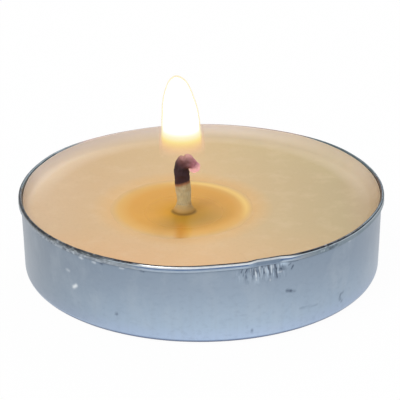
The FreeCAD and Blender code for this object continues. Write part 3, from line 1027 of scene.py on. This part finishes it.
FLAME_WIDEST = 8.3  # height over the wax, above which a shell's own share of the height counts
FLAME_NARROWS = 13.6  # height from which the rings lie closer together
FLAME_TIP = 14.72
FLAME_SIDES = 64
FLAME_LINE = (
    # height over the wax, half width, middle from the wick
    (5.8, 1.95, -0.10), (6.5, 2.08, -0.12), (7.2, 2.08, -0.14), (8.3, 2.04, -0.18), (9.7, 1.97, -0.24),
    (10.7, 1.88, -0.28), (11.65, 1.75, -0.36), (12.6, 1.52, -0.45), (13.2, 1.33, -0.48), (13.8, 1.08, -0.51),
    (14.2, 0.84, -0.55), (14.5, 0.52, -0.59), (14.66, 0.25, -0.62), (FLAME_TIP, 0.03, -0.62),
)
FLAME_SHELLS = (
    # shares of the full width and height, how dense, heights where it starts and is full, own colour
    (1.12, 0.97, 0.17, 6.1, 7.3, (255, 200, 165)), (1.00, 1.00, 0.40, 6.4, 8.3, (255, 236, 190)),
    (0.96, 0.985, 0.62, 6.6, 8.5, (255, 250, 214)), (0.915, 0.965, 1.0, 6.9, 8.8, (255, 255, 255)),
)


def flame_ring(wide, tall, height):
    """A ring of one shell, at a height over the wax of the whole flame's outline."""
    half = through([(h, w) for h, w, _ in FLAME_LINE], height) * wide
    middle_x = WICK_X + through([(h, x) for h, _, x in FLAME_LINE], height)
    if height > FLAME_WIDEST:
        height = FLAME_WIDEST + (height - FLAME_WIDEST) * tall
    ring = []
    for i in range(FLAME_SIDES):
        a = 2 * math.pi * i / FLAME_SIDES
        ring.append((middle_x + half * math.cos(a), WICK_Y + half * math.sin(a), FILL + height))
    return ring


def make_flame():
    for number, (wide, tall, dense, start, full, tint) in enumerate(FLAME_SHELLS, 1):
        heights = [blend(start - 0.1, FLAME_NARROWS, i / 30) for i in range(30)]
        heights += [blend(FLAME_NARROWS, FLAME_TIP, math.sin(math.pi / 2 * i / 14)) for i in range(15)]
        rings = [flame_ring(wide, tall, height) for height in heights]
        piece = mesh_piece(f"flame_shell_{number}", rings, "open", None, "flame")
        piece.data.materials.append(flame_light(number, dense, start, full, tint))
        piece.visible_shadow = False


def flame_light(number, dense, start, full, tint):
    """Glowing gas: see-through at its foot, yellow at its edge and white within."""
    n = Nodes(f"flame_light_{number}")
    height = n.in_mm()[2]
    rise = n.math("DIVIDE", n.math("SUBTRACT", height, FILL + 6.0), 5.0, clamp=True)
    foot_glow = n.ramp(rise, (0.0, colour(250, 200, 150)), (0.16, colour(250, 200, 150)),
                       (0.26, colour(255, 206, 150)), (0.38, colour(255, 222, 138)),
                       (0.46, colour(255, 240, 152)), (0.54, colour(255, 252, 200)),
                       (0.64, colour(255, 255, 240)))
    own = n.over(rise, 0.44, 4.0)
    glow = n.mix(own, foot_glow, colour(*tint))
    if number == 1:
        glow = colour(*tint)
    bright = 1.0
    if number == len(FLAME_SHELLS):
        rising = n.over(rise, 0.56, 5.0)
        bright = n.math("ADD", 1.0, n.math("MULTIPLY", rising, 4.5))
    opening = n.math("DIVIDE", n.math("SUBTRACT", height, FILL + start), full - start, clamp=True)
    density = n.math("POWER", opening, 1.5)
    if number == 1:
        closing = n.over(FILL + 9.4, height, 0.8)
        density = n.math("MULTIPLY", density, closing)
    alpha = n.math("MULTIPLY", density, dense, clamp=True)
    light = n.add("ShaderNodeEmission", {"Color": glow, "Strength": bright}).outputs[0]
    clear = n.add("ShaderNodeBsdfTransparent").outputs[0]
    shader = n.add("ShaderNodeMixShader", {0: alpha, 1: clear, 2: light}).outputs[0]
    return n.shader(shader)


# Sustainer: the disc and neck at the wick's foot keep their own shape and get a material

def tinned_steel():
    n = Nodes("tinned_steel")
    grain = n.noise(n.place((1.0, 0.1, 1.0)), 3000.0, 4.0)
    base = n.mix(grain, colour(150, 150, 152), colour(196, 196, 198))
    rough = n.math("ADD", n.math("MULTIPLY", grain, 0.25), 0.25)
    inputs = {"Base Color": base, "Metallic": 1.0, "Roughness": rough, "Normal": n.bump(grain, 0.00001, 0.5)}
    return n.shader(n.add("ShaderNodeBsdfPrincipled", inputs).outputs[0])


def finish_sustainer():
    for item in bpy.context.scene.objects:
        if item.type == "MESH" and item.name == "wick_sustainer":
            item.data.materials.clear()
            item.data.materials.append(tinned_steel())


# Stage: floor, light and camera

FLOOR_HALF = 3.0  # metres
SEEN_WHITE = 0.97  # how much of the floor's own look is plain white


def white_floor():
    """Plain white that keeps a soft share of the object's shadow."""
    n = Nodes("white_floor")
    plain = n.add("ShaderNodeBsdfDiffuse", {"Color": (0.86, 0.86, 0.86, 1.0)}).outputs[0]
    white = n.add("ShaderNodeEmission", {"Color": (1.0, 1.0, 1.0, 1.0), "Strength": 1.0}).outputs[0]
    path = n.add("ShaderNodeLightPath")
    seen = n.math("MAXIMUM", path.outputs["Is Camera Ray"], path.outputs["Is Glossy Ray"])
    seen = n.math("MAXIMUM", seen, path.outputs["Is Transmission Ray"])
    share = n.math("MULTIPLY", seen, SEEN_WHITE)
    return n.shader(n.add("ShaderNodeMixShader", {0: share, 1: plain, 2: white}).outputs[0])


def make_stage():
    mesh = bpy.data.meshes.new("floor")
    half = FLOOR_HALF
    corners = [(-half, -half, 0), (half, -half, 0), (half, half, 0), (-half, half, 0)]
    mesh.from_pydata(corners, [], [(0, 1, 2, 3)])
    floor = bpy.data.objects.new("floor", mesh)
    bpy.context.scene.collection.objects.link(floor)
    floor.data.materials.append(white_floor())
    world = bpy.data.worlds.new("studio")
    bpy.context.scene.world = world
    world.use_nodes = True
    tree = world.node_tree
    tree.nodes.clear()
    path = tree.nodes.new("ShaderNodeLightPath")
    soft = tree.nodes.new("ShaderNodeBackground")
    soft.inputs["Color"].default_value = (0.93, 0.96, 1.0, 1.0)
    soft.inputs["Strength"].default_value = 0.62
    white = tree.nodes.new("ShaderNodeBackground")
    white.inputs["Color"].default_value = (1.0, 1.0, 1.0, 1.0)
    mix = tree.nodes.new("ShaderNodeMixShader")
    out = tree.nodes.new("ShaderNodeOutputWorld")
    tree.links.new(path.outputs["Is Camera Ray"], mix.inputs[0])
    tree.links.new(soft.outputs[0], mix.inputs[1])
    tree.links.new(white.outputs[0], mix.inputs[2])
    tree.links.new(mix.outputs[0], out.inputs["Surface"])


def add_light(name, place, size, watts, tint=(1.0, 1.0, 1.0)):
    lamp = bpy.data.lights.new(name, "AREA")
    lamp.size = size
    lamp.energy = watts
    lamp.color = tint
    item = bpy.data.objects.new(name, lamp)
    item.location = place
    aim = Vector((0, 0, 0.004)) - Vector(place)
    item.rotation_euler = aim.to_track_quat("-Z", "Y").to_euler()
    bpy.context.scene.collection.objects.link(item)


def make_lights():
    add_light("key_light", (-0.25, -0.25, 0.5), 0.3, 1.6, (1.0, 0.98, 0.95))
    add_light("back_light", (0.15, 0.4, 0.35), 0.25, 0.8)


def make_camera():
    pitch = 0.40787  # radians down, from the rim's ellipse in the photograph
    distance = 0.171  # metres from the middle of the rim
    roll = -0.0051  # radians about the line of sight
    camera = bpy.data.cameras.new("camera")
    camera.sensor_width = 36.0
    camera.lens = 147.57
    camera.shift_x = -0.0033
    camera.shift_y = -0.0306
    camera.clip_start = 0.005
    item = bpy.data.objects.new("camera", camera)
    item.location = (0, -distance * math.cos(pitch), TOP * MM + distance * math.sin(pitch))
    item.rotation_mode = "ZYX"
    item.rotation_euler = (math.pi / 2 - pitch, 0.0, roll)
    bpy.context.scene.collection.objects.link(item)
    bpy.context.scene.camera = item


make_cup()
make_wax()
make_melt_pool()
make_wick()
make_flame()
finish_sustainer()
make_stage()
make_lights()
make_camera()
bpy.context.scene.view_settings.view_transform = "Standard"
